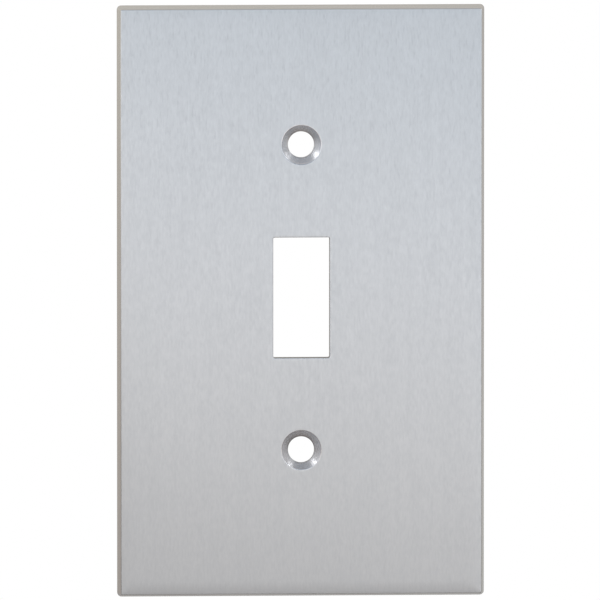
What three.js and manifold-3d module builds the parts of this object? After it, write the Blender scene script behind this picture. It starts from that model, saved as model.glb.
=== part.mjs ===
// A single-gang wall plate for a toggle switch, in one piece of brushed metal. Units are millimetres.
// +Z is up, +X is to the right as seen from the room, and -Y points out of the wall.
// The origin lies on the wall plane, midway between the two screw holes.

import * as THREE from "three";
import { mergeVertices } from "three/addons/utils/BufferGeometryUtils.js";
import Module from "manifold-3d";

// The outside
const PLATE_WIDTH = 72.5; // across the back edge, where it meets the wall
const PLATE_HEIGHT = 117;
const PLATE_DEPTH = 3.4; // from the wall to the front face
const PLATE_DROP = 0.85; // how far the plate's middle lies below the middle of its openings
const SIDE_LEAN = 0.7; // how far each side leans in between the back edge and the front face
const FACE_CORNER_RADIUS = 0.2;

// The hollow back, which clears the switch's mounting yoke
const WEB_THICKNESS = 2.1; // metal left behind the front face
const RIM_WIDTH = 2.0; // the flat rim that rests on the wall
const POCKET_CORNER_RADIUS = 2.5;

// The opening for the toggle
const SLOT_WIDTH = 11.1;
const SLOT_HEIGHT = 23.8;
const SLOT_CORNER_RADIUS = 0.3;

// The two countersunk holes for oval-head screws
const SCREW_PITCH = 60.325;
const HOLE_DIAMETER = 5.16;
const COUNTERSINK_DIAMETER = 7.8;
const COUNTERSINK_ANGLE = THREE.MathUtils.degToRad(82);

const CORNER_SEGMENTS = 8;
const ROUND_SEGMENTS = 96;
const CUT_OVERSHOOT = 2; // how far a cutting shape runs past the face that it cuts

const wasm = await Module();
wasm.setup();

function solidFrom(geometry) {
  const bare = geometry.clone();
  bare.deleteAttribute("normal");
  bare.deleteAttribute("uv");
  const merged = mergeVertices(bare);
  const mesh = new wasm.Mesh({
    numProp: 3,
    vertProperties: new Float32Array(merged.attributes.position.array),
    triVerts: new Uint32Array(merged.index.array),
  });
  return new wasm.Manifold(mesh);
}

function geometryFrom(solid) {
  const { vertProperties, triVerts } = solid.getMesh();
  const indexed = new THREE.BufferGeometry();
  indexed.setAttribute("position", new THREE.BufferAttribute(vertProperties, 3));
  indexed.setIndex(new THREE.BufferAttribute(triVerts, 1));
  const geometry = indexed.toNonIndexed();
  geometry.computeVertexNormals();
  return geometry;
}

function roundedRectangle(width, height, radius) {
  const right = width / 2 - radius;
  const top = height / 2 - radius;
  const outline = new THREE.Shape();
  outline.absarc(right, top, radius, 0, Math.PI / 2);
  outline.absarc(-right, top, radius, Math.PI / 2, Math.PI);
  outline.absarc(-right, -top, radius, Math.PI, 1.5 * Math.PI);
  outline.absarc(right, -top, radius, 1.5 * Math.PI, 2 * Math.PI);
  outline.closePath();
  return outline;
}

// The pieces below are drawn flat, with the wall at z = 0 and the front face at z = PLATE_DEPTH.

// The bevel of the extrusion makes the leaning sides. What reaches behind the wall plane is cut off.
function outerBody() {
  const face = roundedRectangle(
    PLATE_WIDTH - 2 * SIDE_LEAN,
    PLATE_HEIGHT - 2 * SIDE_LEAN,
    FACE_CORNER_RADIUS,
  );
  const spare = new THREE.ExtrudeGeometry(face, {
    depth: CUT_OVERSHOOT,
    bevelThickness: PLATE_DEPTH,
    bevelSize: SIDE_LEAN,
    bevelSegments: 1,
    curveSegments: CORNER_SEGMENTS,
  });
  spare.translate(0, -PLATE_DROP, -CUT_OVERSHOOT);
  const cutDepth = PLATE_DEPTH + 2 * CUT_OVERSHOOT;
  const behindWall = new THREE.BoxGeometry(
    PLATE_WIDTH + CUT_OVERSHOOT,
    PLATE_HEIGHT + CUT_OVERSHOOT,
    cutDepth,
  );
  behindWall.translate(0, -PLATE_DROP, -cutDepth / 2);
  return solidFrom(spare).subtract(solidFrom(behindWall));
}

function prism(outline, centreY, bottom, top) {
  const geometry = new THREE.ExtrudeGeometry(outline, {
    depth: top - bottom,
    bevelEnabled: false,
    curveSegments: CORNER_SEGMENTS,
  });
  geometry.translate(0, centreY, bottom);
  return solidFrom(geometry);
}

function backPocket() {
  const outline = roundedRectangle(
    PLATE_WIDTH - 2 * RIM_WIDTH,
    PLATE_HEIGHT - 2 * RIM_WIDTH,
    POCKET_CORNER_RADIUS,
  );
  return prism(outline, -PLATE_DROP, -CUT_OVERSHOOT, PLATE_DEPTH - WEB_THICKNESS);
}

function toggleSlot() {
  const outline = roundedRectangle(SLOT_WIDTH, SLOT_HEIGHT, SLOT_CORNER_RADIUS);
  return prism(outline, 0, -CUT_OVERSHOOT, PLATE_DEPTH + CUT_OVERSHOOT);
}

// A straight hole that opens into a cone at the front, turned as one profile.
function screwHole(centreY) {
  const holeRadius = HOLE_DIAMETER / 2;
  const mouthRadius = COUNTERSINK_DIAMETER / 2;
  const widening = Math.tan(COUNTERSINK_ANGLE / 2);
  const coneStart = PLATE_DEPTH - (mouthRadius - holeRadius) / widening;
  const profile = [
    new THREE.Vector2(0, -CUT_OVERSHOOT),
    new THREE.Vector2(holeRadius, -CUT_OVERSHOOT),
    new THREE.Vector2(holeRadius, coneStart),
    new THREE.Vector2(mouthRadius + CUT_OVERSHOOT * widening, PLATE_DEPTH + CUT_OVERSHOOT),
    new THREE.Vector2(0, PLATE_DEPTH + CUT_OVERSHOOT),
  ];
  const geometry = new THREE.LatheGeometry(profile, ROUND_SEGMENTS);
  geometry.rotateX(Math.PI / 2); // the lathe turns about Y, and the hole runs along Z
  geometry.translate(0, centreY, 0);
  return solidFrom(geometry);
}

function wallPlate() {
  let solid = outerBody().subtract(backPocket()).subtract(toggleSlot());
  for (const side of [1, -1]) {
    solid = solid.subtract(screwHole((side * SCREW_PITCH) / 2));
  }
  const brushedMetal = new THREE.MeshStandardMaterial({
    color: 0xc9cdd2,
    roughness: 0.38,
    metalness: 1,
  });
  const plate = new THREE.Mesh(geometryFrom(solid), brushedMetal);
  plate.name = "wall_plate";
  plate.rotation.x = Math.PI / 2; // stands the plate up, with its front face towards -Y
  return plate;
}

const togglePlate = new THREE.Group();
togglePlate.name = "toggle_wall_plate";
togglePlate.add(wallPlate());

export default togglePlate;
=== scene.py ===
import math

import bmesh
import bpy
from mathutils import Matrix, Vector
from mathutils.geometry import delaunay_2d_cdt


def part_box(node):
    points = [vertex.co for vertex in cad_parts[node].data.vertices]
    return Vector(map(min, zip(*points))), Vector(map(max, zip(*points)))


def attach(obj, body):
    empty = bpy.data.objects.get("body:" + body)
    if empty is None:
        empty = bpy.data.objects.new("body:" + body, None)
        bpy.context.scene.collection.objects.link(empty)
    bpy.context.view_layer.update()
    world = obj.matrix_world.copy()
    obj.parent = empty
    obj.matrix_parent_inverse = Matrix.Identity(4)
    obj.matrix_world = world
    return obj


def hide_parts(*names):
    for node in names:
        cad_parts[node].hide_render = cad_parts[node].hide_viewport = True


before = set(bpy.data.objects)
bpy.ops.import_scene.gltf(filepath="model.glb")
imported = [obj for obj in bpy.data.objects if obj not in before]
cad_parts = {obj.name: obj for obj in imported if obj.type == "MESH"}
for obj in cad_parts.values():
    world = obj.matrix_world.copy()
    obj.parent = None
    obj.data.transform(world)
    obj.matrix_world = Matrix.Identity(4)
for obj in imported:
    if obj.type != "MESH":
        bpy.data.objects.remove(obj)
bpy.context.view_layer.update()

# A single-gang wall plate for a toggle switch, in brushed metal. Everything is in metres.
# The plate's own measures are (across, up, out): across is +X, up is +Z from midway between the two
# screw holes, and out is how far a point stands out of the wall, towards -Y.

MM = 0.001
NODE = "wall_plate"

low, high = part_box(NODE)
HALF_WIDTH = (high[0] - low[0]) / 2
HALF_HEIGHT = (high[2] - low[2]) / 2
DEPTH = high[1] - low[1]
MIDDLE_UP = (high[2] + low[2]) / 2  # the outline's middle, a little below the middle of the openings

# The same driving dimensions as the CAD part
SIDE_LEAN = 0.7 * MM
WEB = 2.1 * MM
RIM_WIDTH = 2.0 * MM
SLOT_HALF_WIDTH = 5.55 * MM
SLOT_HALF_HEIGHT = 11.9 * MM
HOLE_RADIUS = 2.58 * MM
MOUTH_RADIUS = 3.9 * MM
SCREW_RISE = 30.1625 * MM
COUNTERSINK_HALF_ANGLE = math.radians(41)
FLOOR_OUT = DEPTH - WEB  # the floor of the hollow back

# Corners of the outline, seen from the front
BACK_CORNER = 0.9 * MM
FACE_CORNER = 0.2 * MM
FLAT_CORNER = 1.6 * MM
POCKET_CORNER = 2.5 * MM
SLOT_CORNER = 0.3 * MM

# Worked edges, too small for the CAD part
FRONT_EDGE_RADIUS = 0.12 * MM
BACK_EDGE_RADIUS = 0.15 * MM
POCKET_FILLET = 0.5 * MM
SLOT_EDGE_RADIUS = 0.16 * MM
HOLE_EDGE_RADIUS = 0.07 * MM
MOUTH_EDGE_RADIUS = 0.22 * MM
ROLL_WIDTH = 2.6 * MM  # the brushing has rolled the face off over this width along its edges
ROLL_DROP = 0.12 * MM
ROLL_LEAD = 0.35 * MM  # the first of the roll, a straight run that the front edge's arc meets
ROLL_AT_TOP = 0.4  # how much of the roll there is along the top edge, and along the bottom edge
ROLL_AT_BOTTOM = 1.15
COLLAR = 0.6 * MM  # a flat ring kept round each opening, so that its edge shades cleanly
TURNING_PITCH = 0.12 * MM
TURNING_HEIGHT = 0.004 * MM
TURNING_FADE = 0.25  # the share of the cone, at each end, over which the turning rings fade in

# How finely the mesh is cut
ARC_STEPS = 6
ARC_POINTS = ARC_STEPS + 1
ROLL_STEPS = 14
CORNER_STEPS = 8
ROUND_STEPS = 160
RIPPLE_STEPS = 4
EDGE_STEP = 4 * MM
FILL_STEP = 4 * MM
FILL_TOLERANCE = 1e-9
SLOT_FACE_STRIPS = 3  # the last strips of the slot's front edge, brushed along with the face

# The plate's material slots
FACE, SIDE, CONE, CUT, BACK = range(5)


def place(across, up, out):
    return Vector((across, -out, up))


# Outlines and sections

def rounded_rectangle(centre_up, half_width, half_height, radius, out, steps):
    """A ring of points round a rectangle. steps is how many its level and upright runs are cut into."""
    corners = [(1, 1, 0), (-1, 1, 90), (-1, -1, 180), (1, -1, 270)]
    arcs = []
    for right, top, start in corners:
        centre_across = right * (half_width - radius)
        centre_height = centre_up + top * (half_height - radius)
        arc = []
        for step in range(CORNER_STEPS + 1):
            angle = math.radians(start + 90 * step / CORNER_STEPS)
            across = centre_across + radius * math.cos(angle)
            up = centre_height + radius * math.sin(angle)
            arc.append((across, up))
        arcs.append(arc)
    ring = []
    for index, arc in enumerate(arcs):
        ring += arc
        following = arcs[(index + 1) % len(arcs)][0]
        run = steps[index % 2]
        for step in range(1, run):
            share = step / run
            ring.append(tuple(a + (b - a) * share for a, b in zip(arc[-1], following)))
    return [place(across, up, out) for across, up in ring]


def run_steps(half_width, half_height):
    return math.ceil(2 * half_width / EDGE_STEP), math.ceil(2 * half_height / EDGE_STEP)


def circle(centre_up, radius, out):
    ring = []
    for step in range(ROUND_STEPS):
        angle = 2 * math.pi * step / ROUND_STEPS
        ring.append(place(radius * math.cos(angle), centre_up + radius * math.sin(angle), out))
    return ring


def rounded_section(corners):
    """A section through (place, out, radius) corners, each inner one replaced by an arc."""
    section = [corners[0][:2]]
    for before, corner, after in zip(corners, corners[1:], corners[2:]):
        here = Vector(corner[:2])
        to_before = (Vector(before[:2]) - here).normalized()
        to_after = (Vector(after[:2]) - here).normalized()
        half = to_before.angle(to_after) / 2
        radius = corner[2]
        centre = here + (to_before + to_after).normalized() * radius / math.sin(half)
        start = here + to_before * radius / math.tan(half) - centre
        end = here + to_after * radius / math.tan(half) - centre
        turn = start.angle(end)
        for step in range(ARC_POINTS):
            share = step / ARC_STEPS
            spoke = start * math.sin((1 - share) * turn) + end * math.sin(share * turn)
            section.append(tuple(centre + spoke / math.sin(turn)))
    section.append(corners[-1][:2])
    return section


# Mesh building

def bridge(bm, first, second, material):
    count = len(first)
    for index in range(count):
        following = (index + 1) % count
        face = bm.faces.new((first[index], first[following], second[following], second[index]))
        face.material_index = material
        face.smooth = True


def loft(bm, rings, materials):
    """Joins rings of points with strips of quads. materials has one entry for each strip."""
    made = [[bm.verts.new(point) for point in ring] for ring in rings]
    for first, second, material in zip(made, made[1:], materials):
        bridge(bm, first, second, material)
    return made[0], made[-1]


def fill_flat(bm, loops, out, material):
    """Fills a flat region between an outer loop, the first, and the openings in it."""
    verts = [vert for loop in loops for vert in loop]
    flat = [Vector((vert.co.x, vert.co.z)) for vert in verts]
    edges = []
    start = 0
    for loop in loops:
        count = len(loop)
        edges += [(start + index, start + (index + 1) % count) for index in range(count)]
        start += count
    outer, *holes = [loop_bounds(loop) for loop in loops]
    steps_across = int(HALF_WIDTH / FILL_STEP)
    steps_up = int(HALF_HEIGHT / FILL_STEP)
    for column in range(-steps_across, steps_across + 1):
        for row in range(-steps_up, steps_up + 1):
            spot = Vector((column * FILL_STEP, row * FILL_STEP))
            on_hole = any(in_bounds(spot, hole, FILL_STEP / 2) for hole in holes)
            if in_bounds(spot, outer, -FILL_STEP / 2) and not on_hole:
                flat.append(spot)
                verts.append(bm.verts.new(place(spot.x, spot.y, out)))
    _, _, triangles, origins, _, _ = delaunay_2d_cdt(flat, edges, [], 0, FILL_TOLERANCE)
    for triangle in triangles:
        corners = [verts[origins[index][0]] for index in triangle]
        middle = sum((corner.co for corner in corners), Vector()) / 3
        spot = Vector((middle.x, middle.z))
        if in_loop(spot, loops[0]) and not any(in_loop(spot, loop) for loop in loops[1:]):
            face = bm.faces.new(corners)
            face.material_index = material
            face.smooth = True


def loop_bounds(loop):
    across = [vert.co.x for vert in loop]
    up = [vert.co.z for vert in loop]
    return min(across), max(across), min(up), max(up)


def in_bounds(spot, bounds, margin):
    left, right, bottom, top = bounds
    return left - margin < spot.x < right + margin and bottom - margin < spot.y < top + margin


def in_loop(spot, loop):
    """Whether a spot is inside a closed loop, by counting the edges to its right."""
    crossings = 0
    for index, vert in enumerate(loop):
        a = vert.co
        b = loop[(index + 1) % len(loop)].co
        if (a.z > spot.y) != (b.z > spot.y):
            if spot.x < a.x + (b.x - a.x) * (spot.y - a.z) / (b.z - a.z):
                crossings += 1
    return crossings % 2 == 1


# The plate's rings

def outline_corner(inset, is_back):
    """The corner radius of the ring at this inset from the outline."""
    if is_back:
        share = min(1, inset / RIM_WIDTH)
        return BACK_CORNER + (POCKET_CORNER - BACK_CORNER) * share
    if inset <= SIDE_LEAN:
        return BACK_CORNER + (FACE_CORNER - BACK_CORNER) * inset / SIDE_LEAN
    share = min(1, (inset - SIDE_LEAN) / ROLL_WIDTH)
    return FACE_CORNER + (FLAT_CORNER - FACE_CORNER) * share


def roll_drop(inset):
    """How far the roll takes the face back at this inset from the outline."""
    share = min(1, max(0, (inset - SIDE_LEAN) / ROLL_WIDTH))
    return ROLL_DROP * (1 - share) ** 2


def roll_share(up):
    """How much of the roll there is at this height."""
    from_top = 0.5 - (up - MIDDLE_UP) / (2 * HALF_HEIGHT)
    return ROLL_AT_TOP + (ROLL_AT_BOTTOM - ROLL_AT_TOP) * from_top


def rolled(point, inset):
    """A point of the front edge or the roll, moved in or out because the roll varies with height."""
    return point - Vector((0, roll_drop(inset) * (1 - roll_share(point.z)), 0))


def outer_rings():
    """From the pocket's floor, round the rim, up the leaning side and over the roll onto the face."""
    roll_start = SIDE_LEAN + ROLL_LEAD
    section = rounded_section([
        (RIM_WIDTH + COLLAR + POCKET_FILLET, FLOOR_OUT),
        (RIM_WIDTH, FLOOR_OUT, POCKET_FILLET),
        (RIM_WIDTH, 0, BACK_EDGE_RADIUS),
        (0, 0, BACK_EDGE_RADIUS),
        (SIDE_LEAN, DEPTH - ROLL_DROP, FRONT_EDGE_RADIUS),
        (roll_start, DEPTH - roll_drop(roll_start)),
    ])
    for step in range(1, ROLL_STEPS + 1):
        inset = roll_start + (SIDE_LEAN + ROLL_WIDTH - roll_start) * step / ROLL_STEPS
        section.append((inset, DEPTH - roll_drop(inset)))
    # Where the section's four arcs put its parts
    rim_end = 2 * ARC_POINTS
    outermost = rim_end + ARC_POINTS // 2
    side_end = 3 * ARC_POINTS
    front_edge_end = 4 * ARC_POINTS
    rings = []
    materials = []
    steps = run_steps(HALF_WIDTH, HALF_HEIGHT)
    for index, (inset, out) in enumerate(section):
        half_width = HALF_WIDTH - inset
        half_height = HALF_HEIGHT - inset
        radius = outline_corner(inset, index <= outermost)
        ring = rounded_rectangle(MIDDLE_UP, half_width, half_height, radius, out, steps)
        if index > side_end:
            ring = [rolled(point, inset) for point in ring]
        rings.append(ring)
        if index < rim_end:
            materials.append(BACK)
        elif index < front_edge_end - 1:
            materials.append(SIDE)
        else:
            materials.append(FACE)
    return rings, materials


def slot_rings():
    """From the pocket's floor, through the slot, onto the face."""
    section = rounded_section([
        (COLLAR, FLOOR_OUT),
        (0, FLOOR_OUT, SLOT_EDGE_RADIUS),
        (0, DEPTH, SLOT_EDGE_RADIUS),
        (COLLAR, DEPTH),
    ])
    steps = run_steps(SLOT_HALF_WIDTH, SLOT_HALF_HEIGHT)
    rings = []
    for outset, out in section:
        half_width = SLOT_HALF_WIDTH + outset
        half_height = SLOT_HALF_HEIGHT + outset
        rings.append(rounded_rectangle(0, half_width, half_height, SLOT_CORNER + outset, out, steps))
    cut_strips = 2 * ARC_POINTS - SLOT_FACE_STRIPS
    materials = [BACK] + [CUT] * cut_strips + [FACE] * SLOT_FACE_STRIPS
    return rings, materials


def screw_rings(centre_up):
    """From the pocket's floor, through the short land, out along the turned cone, onto the face."""
    cone_start = DEPTH - (MOUTH_RADIUS - HOLE_RADIUS) / math.tan(COUNTERSINK_HALF_ANGLE)
    section = rounded_section([
        (HOLE_RADIUS + COLLAR, FLOOR_OUT),
        (HOLE_RADIUS, FLOOR_OUT, HOLE_EDGE_RADIUS),
        (HOLE_RADIUS, cone_start, HOLE_EDGE_RADIUS),
        (MOUTH_RADIUS, DEPTH, MOUTH_EDGE_RADIUS),
        (MOUTH_RADIUS + COLLAR, DEPTH),
    ])
    foot = 2 * ARC_POINTS
    grooves = turned(section[foot], section[foot + 1])
    section[foot + 1 : foot + 1] = grooves
    rings = [circle(centre_up, radius, out) for radius, out in section]
    materials = [BACK] + [CUT] * (foot - 1) + [CONE] * (len(grooves) + ARC_POINTS) + [FACE]
    return rings, materials


def turned(foot, mouth):
    """The fine rings that a countersink leaves along the cone."""
    start = Vector(foot)
    run = Vector(mouth) - start
    normal = Vector((-run.y, run.x)).normalized()
    ripples = int(run.length / TURNING_PITCH)
    steps = ripples * RIPPLE_STEPS
    points = []
    for step in range(1, steps):
        share = step / steps
        fade = min(1, share / TURNING_FADE, (1 - share) / TURNING_FADE)
        height = TURNING_HEIGHT * fade * math.sin(2 * math.pi * ripples * share)
        points.append(tuple(start + run * share + normal * height))
    return points


def plate_mesh():
    bm = bmesh.new()
    back_loops = []
    front_loops = []
    for rings, materials in (
        outer_rings(),
        slot_rings(),
        screw_rings(SCREW_RISE),
        screw_rings(-SCREW_RISE),
    ):
        back_loop, front_loop = loft(bm, rings, materials)
        back_loops.append(back_loop)
        front_loops.append(front_loop)
    fill_flat(bm, back_loops, FLOOR_OUT, BACK)
    fill_flat(bm, front_loops, DEPTH, FACE)
    bmesh.ops.recalc_face_normals(bm, faces=bm.faces)
    mesh = bpy.data.meshes.new("brushed_plate")
    bm.to_mesh(mesh)
    bm.free()
    return mesh


# Nodes

class Tree:
    """Adds nodes to a material's or the world's tree, and links them."""

    def __init__(self, owner):
        owner.use_nodes = True
        self.tree = owner.node_tree

    def add(self, kind, **settings):
        node = self.tree.nodes.new(kind)
        for key, value in settings.items():
            setattr(node, key, value)
        return node

    def feed(self, socket, value):
        """Links another node's output to a socket, or sets the socket to a colour or a number."""
        if isinstance(value, bpy.types.NodeSocket):
            self.tree.links.new(value, socket)
        elif isinstance(value, tuple):
            socket.default_value = (*value, 1)
        else:
            socket.default_value = value

    def position(self):
        """Where a point is, measured from the object's own origin."""
        return self.add("ShaderNodeTexCoord").outputs["Object"]

    def axis(self, vector, name):
        node = self.add("ShaderNodeSeparateXYZ")
        self.feed(node.inputs["Vector"], vector)
        return node.outputs[name]

    def length(self, vector):
        node = self.add("ShaderNodeVectorMath", operation="LENGTH")
        self.feed(node.inputs[0], vector)
        return node.outputs["Value"]

    def combine(self, operation, first, second):
        node = self.add("ShaderNodeMath", operation=operation)
        self.feed(node.inputs[0], first)
        self.feed(node.inputs[1], second)
        return node.outputs[0]

    def span(self, value, low, high, out_low=0.0, out_high=1.0, shape="LINEAR"):
        """A value from low to high, stretched to out_low to out_high."""
        node = self.add("ShaderNodeMapRange", interpolation_type=shape)
        self.feed(node.inputs["Value"], value)
        self.feed(node.inputs["From Min"], low)
        self.feed(node.inputs["From Max"], high)
        self.feed(node.inputs["To Min"], out_low)
        self.feed(node.inputs["To Max"], out_high)
        return node.outputs["Result"]

    def mix(self, share, first, second):
        """From one colour to another. The share may run past 0 and 1."""
        node = self.add("ShaderNodeMix", data_type="RGBA", clamp_factor=False)
        self.feed(node.inputs["Factor"], share)
        self.feed(node.inputs["A"], first)
        self.feed(node.inputs["B"], second)
        return node.outputs["Result"]

    def ramp(self, value, stops):
        """Colours along a value. stops are (value, colour), in rising order."""
        low = stops[0][0]
        high = stops[-1][0]
        node = self.add("ShaderNodeValToRGB")
        elements = node.color_ramp.elements
        while len(elements) < len(stops):
            elements.new(0.5)
        for element, (stop, colour) in zip(elements, stops):
            element.position = (stop - low) / (high - low)
            element.color = (*colour, 1)
        self.feed(node.inputs["Fac"], self.span(value, low, high))
        return node.outputs["Color"]


def bare_tree(owner):
    """A tree without the nodes that a new material or world starts with."""
    tree = Tree(owner)
    tree.tree.nodes.clear()
    return tree


# Materials

# The two colours that each finish varies between. Nicks, and the shade painted on the countersinks and
# the cut walls, go past the first.
FACE_TONES = ((0.668, 0.677, 0.691), (0.724, 0.733, 0.747))
SIDE_TONES = ((0.60, 0.595, 0.585), (0.68, 0.675, 0.665))
# Painted reflection on the countersinks: a warm colour where they face down and a cool one where they
# face up.
CONE_PAINTED_WARM_TONES = ((0.667, 0.622, 0.608), (0.80, 0.745, 0.728))
CONE_PAINTED_COOL_TONES = ((0.585, 0.61, 0.638), (0.70, 0.73, 0.765))
CUT_TONES = ((0.42, 0.415, 0.41), (0.56, 0.56, 0.56))
BACK_TONES = ((0.54, 0.545, 0.55), (0.66, 0.665, 0.67))

# The roughness of each finish at its first colour and at its second
FACE_ROUGHNESS = (0.385, 0.335)
SIDE_ROUGHNESS = (0.28, 0.20)
CONE_ROUGHNESS = (0.28, 0.20)
CUT_ROUGHNESS = (0.50, 0.36)
BACK_ROUGHNESS = (0.56, 0.44)

NICK_NOISE = (0.56, 0.72)  # the noise at which a nick starts, and is whole
NICK_HEIGHTS = (5 * MM, 45 * MM)  # the nicks grow darker between these heights
NICK_DEPTHS = (0.12, 0.95)
# Painted shade and light on the countersinks: the lower one is darker where it faces down and lighter
# where it faces up, the upper one the other way round.
LOWER_CONE_PAINTED_SHADING = (1.5, -0.65)  # where the cone faces down, and where it faces up
UPPER_CONE_PAINTED_SHADING = (-0.55, 0.55)
CONE_FACING = (-0.7, 0.7)  # about how far up the cone's top and bottom face
# Painted shade on the walls of the slot and the holes' lands: darker where they face up, as if in the
# openings' shadow.
PAINTED_SHADE_FACING = (0.3, 0.9)  # how far up a cut wall faces where the painted shade starts, and is whole
# how much the painted shade darkens the up-facing cut walls
LEDGE_PAINTED_SHADE = 1.3

NOISE_RANGE = (0.3, 0.7)  # most of a noise's values lie between these
SEED_STEP = (1.0, 2.3, 0.7)  # where one unit of seed moves a noise to


class Metal(Tree):
    """A metal's material, with every noise measured in the plate's own metres."""

    def __init__(self, name, anisotropy=0.0):
        self.material = bpy.data.materials.new(name)
        super().__init__(self.material)
        self.shader = self.tree.nodes["Principled BSDF"]
        self.feed(self.shader.inputs["Metallic"], 1.0)
        self.feed(self.shader.inputs["Anisotropic"], anisotropy)

    def noise(self, cell, detail=2.0, roughness=0.5, seed=0.0):
        """Noise whose cells measure (x, y, z) metres."""
        mapping = self.add("ShaderNodeMapping")
        mapping.inputs["Scale"].default_value = [1 / length for length in cell]
        mapping.inputs["Location"].default_value = [seed * step for step in SEED_STEP]
        self.feed(mapping.inputs["Vector"], self.position())
        node = self.add("ShaderNodeTexNoise")
        self.feed(node.inputs["Vector"], mapping.outputs["Vector"])
        self.feed(node.inputs["Scale"], 1.0)
        self.feed(node.inputs["Detail"], detail)
        self.feed(node.inputs["Roughness"], roughness)
        return node.outputs["Fac"]

    def stretch(self, noise, out_low=0.0, out_high=1.0):
        return self.span(noise, *NOISE_RANGE, out_low, out_high)

    def blend(self, first, share, second):
        """The first noise's share, and the second for the rest."""
        kept = self.combine("MULTIPLY", first, share)
        rest = self.combine("MULTIPLY", second, 1 - share)
        return self.combine("ADD", kept, rest)

    def height(self):
        """How far up the plate a point is."""
        return self.axis(self.position(), "Z")

    def upward(self):
        """How far the surface faces up: 1 for a ledge, 0 for an upright wall, -1 for a ceiling."""
        return self.axis(self.add("ShaderNodeNewGeometry").outputs["Normal"], "Z")

    def finish(self, colour, roughness):
        self.feed(self.shader.inputs["Base Color"], colour)
        self.feed(self.shader.inputs["Roughness"], roughness)

    def emboss(self, relief, height, strength):
        """Raises the surface by a noise, its relief."""
        bump = self.add("ShaderNodeBump")
        self.feed(bump.inputs["Height"], relief)
        self.feed(bump.inputs["Distance"], height)
        self.feed(bump.inputs["Strength"], strength)
        self.feed(self.shader.inputs["Normal"], bump.outputs["Normal"])


def brushed_face():
    """Upright brushing, cloudy at large, with nicks that grow darker towards the top."""
    metal = Metal("brushed_face", anisotropy=0.75)
    fine = metal.noise((0.34 * MM, 2 * MM, 1.15 * MM), roughness=0.55, seed=3.1)
    broad = metal.noise((0.9 * MM, 6 * MM, 26 * MM), seed=11.7)
    cloud = metal.noise((22 * MM, 22 * MM, 34 * MM), seed=5.3)
    nick = metal.noise((0.30 * MM, 2 * MM, 1.7 * MM), seed=17.9)
    streaks = metal.blend(fine, 0.82, broad)
    even = metal.stretch(metal.blend(streaks, 0.85, cloud))
    depth = metal.span(metal.height(), *NICK_HEIGHTS, *NICK_DEPTHS)
    nicks = metal.combine("MULTIPLY", metal.span(nick, *NICK_NOISE), depth)
    colour = metal.mix(metal.combine("SUBTRACT", even, nicks), *FACE_TONES)
    metal.finish(colour, metal.stretch(streaks, *FACE_ROUGHNESS))
    metal.emboss(streaks, height=0.014 * MM, strength=0.25)
    tangent = metal.add("ShaderNodeTangent", direction_type="RADIAL", axis="X")
    metal.feed(metal.shader.inputs["Tangent"], tangent.outputs["Tangent"])
    return metal.material


def satin_side():
    """The leaning sides, ground along their length."""
    metal = Metal("satin_side")
    grain = metal.noise((0.5 * MM, 0.15 * MM, 0.5 * MM), detail=3.0, roughness=0.6, seed=7.9)
    long_grain = metal.noise((7 * MM, 0.2 * MM, 7 * MM), seed=1.4)
    mixed = metal.blend(grain, 0.5, long_grain)
    colour = metal.mix(metal.stretch(mixed), *SIDE_TONES)
    metal.finish(colour, metal.stretch(mixed, *SIDE_ROUGHNESS))
    metal.emboss(mixed, height=0.01 * MM, strength=0.2)
    return metal.material


def turned_cone():
    """The countersinks: turned metal, with a painted reflection tint, warm where it faces down and cool
    where it faces up.

    Painted shade and light: the lower one is darker where it faces down and lighter where it faces up,
    the upper one darker where it faces up and lighter where it faces down.
    """
    metal = Metal("turned_cone")
    grain = metal.noise((0.3 * MM, 0.06 * MM, 0.3 * MM), seed=2.2)
    upward = metal.upward()
    # Painted shade and light: how much darker (or, below zero, lighter) each cone is made, by which way
    # it faces.
    lower_painted_shading = metal.span(upward, *CONE_FACING, *LOWER_CONE_PAINTED_SHADING)
    upper_painted_shading = metal.span(upward, *CONE_FACING, *UPPER_CONE_PAINTED_SHADING)
    cone_painted_shading = metal.span(metal.height(), -SCREW_RISE, SCREW_RISE, lower_painted_shading, upper_painted_shading)
    shade = metal.combine("SUBTRACT", metal.stretch(grain, 0.05, 1.05), cone_painted_shading)
    # Painted reflection tint: warm where the cone faces down, cool where it faces up.
    warm = metal.mix(shade, *CONE_PAINTED_WARM_TONES)
    cool = metal.mix(shade, *CONE_PAINTED_COOL_TONES)
    colour = metal.mix(metal.span(upward, *CONE_FACING), warm, cool)
    metal.finish(colour, metal.stretch(grain, *CONE_ROUGHNESS))
    metal.emboss(grain, height=0.004 * MM, strength=0.2)
    return metal.material


def cut_wall():
    """The walls of the slot and of the holes' short lands, with painted shade on what faces up."""
    metal = Metal("cut_wall")
    drag = metal.noise((0.12 * MM, 1.2 * MM, 0.12 * MM), detail=3.0, roughness=0.6, seed=9.4)
    # Painted shade: the walls that face up are darkened, as if in the shadow of the opening.
    ledge_painted_shade = metal.span(metal.upward(), *PAINTED_SHADE_FACING, 0.0, LEDGE_PAINTED_SHADE)
    colour = metal.mix(metal.combine("SUBTRACT", metal.stretch(drag), ledge_painted_shade), *CUT_TONES)
    metal.finish(colour, metal.stretch(drag, *CUT_ROUGHNESS))
    metal.emboss(drag, height=0.02 * MM, strength=0.3)
    return metal.material


def plain_back():
    """The rim and the hollow back, left as they were formed."""
    metal = Metal("plain_back")
    grain = metal.noise((0.35 * MM, 0.35 * MM, 0.35 * MM), detail=4.0, roughness=0.65, seed=4.6)
    cloud = metal.noise((14 * MM, 14 * MM, 14 * MM), detail=3.0, seed=8.8)
    mixed = metal.blend(grain, 0.6, cloud)
    colour = metal.mix(metal.stretch(mixed), *BACK_TONES)
    metal.finish(colour, metal.stretch(mixed, *BACK_ROUGHNESS))
    metal.emboss(grain, height=0.02 * MM, strength=0.3)
    return metal.material


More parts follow.
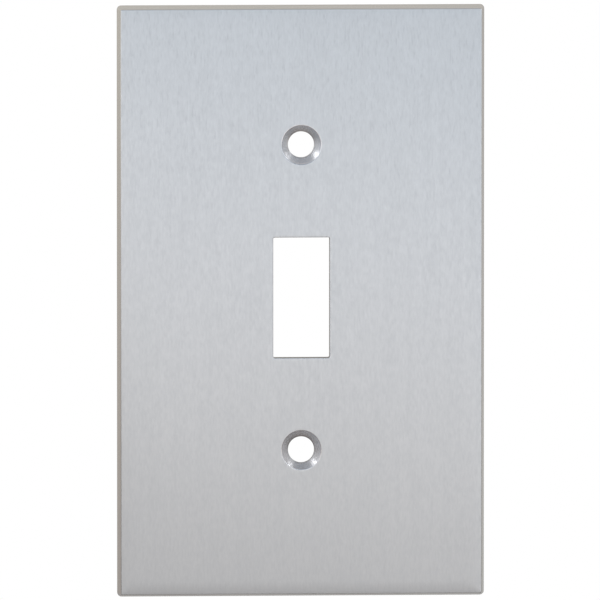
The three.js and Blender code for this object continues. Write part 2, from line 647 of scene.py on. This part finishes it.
def add_object(name, data):
    thing = bpy.data.objects.new(name, data)
    bpy.context.scene.collection.objects.link(thing)
    return thing


def wall_plate():
    mesh = plate_mesh()
    for material in (brushed_face(), satin_side(), turned_cone(), cut_wall(), plain_back()):
        mesh.materials.append(material)
    plate = add_object("brushed_plate", mesh)
    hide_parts(NODE)
    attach(plate, "root")


# Stage, light and camera

CENTRE = Vector((0, -DEPTH / 2, MIDDLE_UP))
AIM = CENTRE + Vector((-0.19 * MM, 0, 0.24 * MM))
CAMERA_AZIMUTH = math.radians(-3.0)  # 0 is straight out of the wall, and more is to the right
CAMERA_ELEVATION = math.radians(5.3)
CAMERA_DISTANCE = 4.0
CAMERA_REACH = 20.0  # how far it sees
FRAME_HEIGHT = 118.18 * MM  # what the frame takes in at the plate
SENSOR = 36.0

FLOOR_DROP = 62 * MM  # how far the floor is below the plate
FLOOR_RADIUS = 0.55
FLOOR_SEGMENTS = 96
FLOOR_FADE = (0.15, 0.95)  # the shares of the radius between which the floor fades to white
PAPER = (0.88, 0.88, 0.88)
WHITE = (1.0, 1.0, 1.0)

CARD_HALF_WIDTH = 0.5
CARD_HALF_HEIGHT = 0.4

FRONT_CARD_AWAY = 0.20  # in front of the wall plane
FRONT_CARD_TILT = 0.17  # its bands come down to the right by this slope
FRONT_CARD_STOPS = [
    (-0.30, (0.30, 0.295, 0.29)),
    (-0.13, (0.38, 0.37, 0.37)),
    (-0.095, (0.40, 0.375, 0.355)),
    (-0.06, (0.76, 0.72, 0.68)),
    (-0.03, (1.22, 1.17, 1.12)),
    (-0.01, (1.36, 1.34, 1.36)),
    (0.022, (1.38, 1.41, 1.46)),
    (0.043, (0.55, 0.69, 0.80)),
    (0.055, (0.42, 0.54, 0.64)),
    (0.07, (0.56, 0.67, 0.77)),
    (0.11, (0.82, 0.86, 0.91)),
    (0.15, (0.54, 0.57, 0.62)),
    (0.30, (0.45, 0.49, 0.54)),
]

# (how far up, from -1 straight down to 1 straight up, colour)
ROOM_IN_FRONT = [
    (-1.0, (0.30, 0.29, 0.28)),
    (-0.3, (0.55, 0.54, 0.53)),
    (0.0, (0.80, 0.81, 0.82)),
    (0.4, (0.75, 0.80, 0.86)),
    (1.0, (0.34, 0.38, 0.44)),
]
ROOM_BEHIND = [
    (-1.0, (0.30, 0.29, 0.28)),
    (-0.3, (0.36, 0.35, 0.34)),
    (0.0, (0.50, 0.48, 0.46)),
    (0.4, (0.60, 0.57, 0.53)),
    (1.0, (0.34, 0.38, 0.44)),
]
# Where the room in front starts, and has done, turning into the one behind, from -1 straight out of
# the wall to 1 straight into it
ROOM_TURN = (-0.2, 0.5)

BACK_CARD_AWAY = 0.25  # behind the wall plane
BACK_CARD_TURN = 0.10  # how far to each side of its middle the left bands turn into the right ones
BACK_CARD_LEFT = [
    (-0.30, (0.30, 0.28, 0.27)),
    (-0.14, (0.46, 0.44, 0.43)),
    (-0.09, (0.46, 0.42, 0.39)),
    (-0.05, (0.51, 0.47, 0.43)),
    (0.0, (0.55, 0.51, 0.46)),
    (0.06, (0.66, 0.63, 0.57)),
    (0.20, (0.70, 0.67, 0.62)),
    (0.30, (0.67, 0.65, 0.62)),
]
BACK_CARD_RIGHT = [
    (-0.30, (0.40, 0.39, 0.38)),
    (-0.14, (0.54, 0.53, 0.52)),
    (-0.08, (0.56, 0.55, 0.53)),
    (-0.03, (0.55, 0.53, 0.51)),
    (0.03, (0.52, 0.50, 0.48)),
    (0.20, (0.68, 0.65, 0.61)),
    (0.30, (0.67, 0.65, 0.62)),
]

SIDE_CARD_AWAY = 0.11  # to each side of the plate's middle
SIDE_CARD_TOP = 0.05
SIDE_CARD_BOTTOM = -0.35
SIDE_CARD_HALF_DEPTH = 0.08
LEFT_CARD_STOPS = [
    (-0.20, (0.22, 0.22, 0.22)),
    (-0.10, (0.22, 0.22, 0.22)),
    (-0.03, (0.29, 0.29, 0.29)),
    (0.0, (0.62, 0.63, 0.64)),
    (0.03, (0.98, 0.99, 1.01)),
    (0.05, (1.06, 1.08, 1.11)),
]
RIGHT_CARD_STOPS = [
    (-0.20, (0.22, 0.22, 0.22)),
    (-0.115, (0.23, 0.23, 0.23)),
    (-0.066, (0.30, 0.30, 0.30)),
    (-0.03, (0.42, 0.42, 0.42)),
    (0.0, (0.64, 0.64, 0.64)),
    (0.05, (0.80, 0.80, 0.81)),
]

# (name, centre, radius, strength)
SIDE_LIGHTS = [
    ("left_light", (-0.30, -0.03, 0.198), 0.125, 6.4),
    ("right_light", (0.20, -0.015, 0.150), 0.085, 4.8),
]
SIDE_LIGHT_COLOUR = (1.0, 0.99, 1.0)
LIGHT_CORE = 0.05  # the share of a side light's radius that glows fully
LIGHT_RIM = 0.8  # how brightly its rim glows


def camera():
    data = bpy.data.cameras.new("camera")
    data.sensor_width = SENSOR
    data.lens = SENSOR * CAMERA_DISTANCE / FRAME_HEIGHT
    data.clip_end = CAMERA_REACH
    level = math.cos(CAMERA_ELEVATION)
    right = math.sin(CAMERA_AZIMUTH) * level
    forward = math.cos(CAMERA_AZIMUTH) * level
    towards = Vector((right, -forward, math.sin(CAMERA_ELEVATION)))
    eye = add_object("camera", data)
    eye.location = AIM + towards * CAMERA_DISTANCE
    eye.rotation_euler = (-towards).to_track_quat("-Z", "Y").to_euler()
    bpy.context.scene.camera = eye


def card(name, centre, aim, half_width, half_height):
    """A glowing card that only shows as a reflection in the metal. Returns its node tree."""
    corners = [
        (-half_width, -half_height, 0),
        (half_width, -half_height, 0),
        (half_width, half_height, 0),
        (-half_width, half_height, 0),
    ]
    mesh = bpy.data.meshes.new(name)
    mesh.from_pydata(corners, [], [(0, 1, 2, 3)])
    thing = add_object(name, mesh)
    thing.location = centre
    thing.rotation_euler = (centre - aim).to_track_quat("Z", "Y").to_euler()
    thing.visible_camera = False
    thing.visible_diffuse = False
    thing.visible_shadow = False
    material = bpy.data.materials.new(name)
    mesh.materials.append(material)
    return bare_tree(material)


def glow(tree, colour, strength=1.0):
    emission = tree.add("ShaderNodeEmission")
    tree.feed(emission.inputs["Color"], colour)
    tree.feed(emission.inputs["Strength"], strength)
    output = tree.add("ShaderNodeOutputMaterial")
    tree.feed(output.inputs["Surface"], emission.outputs["Emission"])


def front_card():
    """The sheet that the face mirrors: bright across its middle, bluer above, grey and dim below."""
    centre = Vector((0, -FRONT_CARD_AWAY, MIDDLE_UP))
    tree = card("front_card", centre, CENTRE, CARD_HALF_WIDTH, CARD_HALF_HEIGHT)
    on_card = tree.position()
    tilt = tree.combine("MULTIPLY", tree.axis(on_card, "X"), FRONT_CARD_TILT)
    up = tree.combine("ADD", tree.axis(on_card, "Y"), tilt)
    glow(tree, tree.ramp(up, FRONT_CARD_STOPS))


def back_card():
    """The sheet behind the wall plane that the leaning sides mirror: warm above, dim below."""
    centre = Vector((0, BACK_CARD_AWAY, MIDDLE_UP))
    further_back = centre + Vector((0, 1, 0))
    tree = card("back_card", centre, further_back, CARD_HALF_WIDTH, CARD_HALF_HEIGHT)
    on_card = tree.position()
    up = tree.axis(on_card, "Y")
    across = tree.axis(on_card, "X")
    rightward = tree.span(across, -BACK_CARD_TURN, BACK_CARD_TURN, shape="SMOOTHSTEP")
    glow(tree, tree.mix(rightward, tree.ramp(up, BACK_CARD_LEFT), tree.ramp(up, BACK_CARD_RIGHT)))


def side_cards():
    """Narrow sheets to each side of the plate that the countersinks mirror."""
    middle = Vector((0, 0, (SIDE_CARD_TOP + SIDE_CARD_BOTTOM) / 2))
    half_height = (SIDE_CARD_TOP - SIDE_CARD_BOTTOM) / 2
    for name, side, stops in (
        ("left_card", -1, LEFT_CARD_STOPS),
        ("right_card", 1, RIGHT_CARD_STOPS),
    ):
        centre = middle + Vector((side * SIDE_CARD_AWAY, 0, 0))
        tree = card(name, centre, middle, SIDE_CARD_HALF_DEPTH, half_height)
        up = tree.axis(tree.position(), "Y")
        glow(tree, tree.ramp(up, [(height - middle.z, colour) for height, colour in stops]))


def side_lights():
    """The two soft lights, up left and up right, that flash in the countersinks."""
    for name, centre, radius, strength in SIDE_LIGHTS:
        tree = card(name, Vector(centre), CENTRE, radius, radius)
        reach = tree.length(tree.position())
        fall = tree.span(reach, LIGHT_CORE * radius, radius, strength, LIGHT_RIM, shape="SMOOTHSTEP")
        glow(tree, SIDE_LIGHT_COLOUR, fall)


def floor():
    """A pale floor, fading into the white behind it."""
    mesh = bpy.data.meshes.new("floor")
    bm = bmesh.new()
    bmesh.ops.create_circle(bm, cap_ends=True, radius=FLOOR_RADIUS, segments=FLOOR_SEGMENTS)
    bm.to_mesh(mesh)
    bm.free()
    ground = add_object("floor", mesh)
    ground.location = (0, 0, low[2] - FLOOR_DROP)
    ground.visible_glossy = False
    material = bpy.data.materials.new("floor")
    mesh.materials.append(material)
    tree = bare_tree(material)
    fade_start, fade_end = [share * FLOOR_RADIUS for share in FLOOR_FADE]
    fade = tree.span(tree.length(tree.position()), fade_start, fade_end, shape="SMOOTHSTEP")
    paper = tree.add("ShaderNodeBsdfDiffuse")
    tree.feed(paper.inputs["Color"], PAPER)
    white = tree.add("ShaderNodeEmission")
    mix = tree.add("ShaderNodeMixShader")
    tree.feed(mix.inputs["Fac"], fade)
    tree.feed(mix.inputs[1], paper.outputs["BSDF"])
    tree.feed(mix.inputs[2], white.outputs["Emission"])
    output = tree.add("ShaderNodeOutputMaterial")
    tree.feed(output.inputs["Surface"], mix.outputs["Shader"])


def studio():
    """White behind the plate, and round it a soft room: cool above, warm behind, dim below."""
    sky = bpy.data.worlds.new("studio")
    tree = bare_tree(sky)
    towards = tree.add("ShaderNodeTexCoord").outputs["Generated"]
    up = tree.axis(towards, "Z")
    backward = tree.axis(towards, "Y")
    behind = tree.span(backward, *ROOM_TURN, shape="SMOOTHSTEP")
    room = tree.mix(behind, tree.ramp(up, ROOM_IN_FRONT), tree.ramp(up, ROOM_BEHIND))
    light = tree.add("ShaderNodeBackground")
    tree.feed(light.inputs["Color"], room)
    seen = tree.add("ShaderNodeBackground")
    tree.feed(seen.inputs["Color"], WHITE)
    mix = tree.add("ShaderNodeMixShader")
    tree.feed(mix.inputs["Fac"], tree.add("ShaderNodeLightPath").outputs["Is Camera Ray"])
    tree.feed(mix.inputs[1], light.outputs["Background"])
    tree.feed(mix.inputs[2], seen.outputs["Background"])
    output = tree.add("ShaderNodeOutputWorld")
    tree.feed(output.inputs["Surface"], mix.outputs["Shader"])
    bpy.context.scene.world = sky


wall_plate()
camera()
studio()
front_card()
back_card()
side_cards()
side_lights()
floor()
bpy.context.scene.view_settings.view_transform = "Standard"
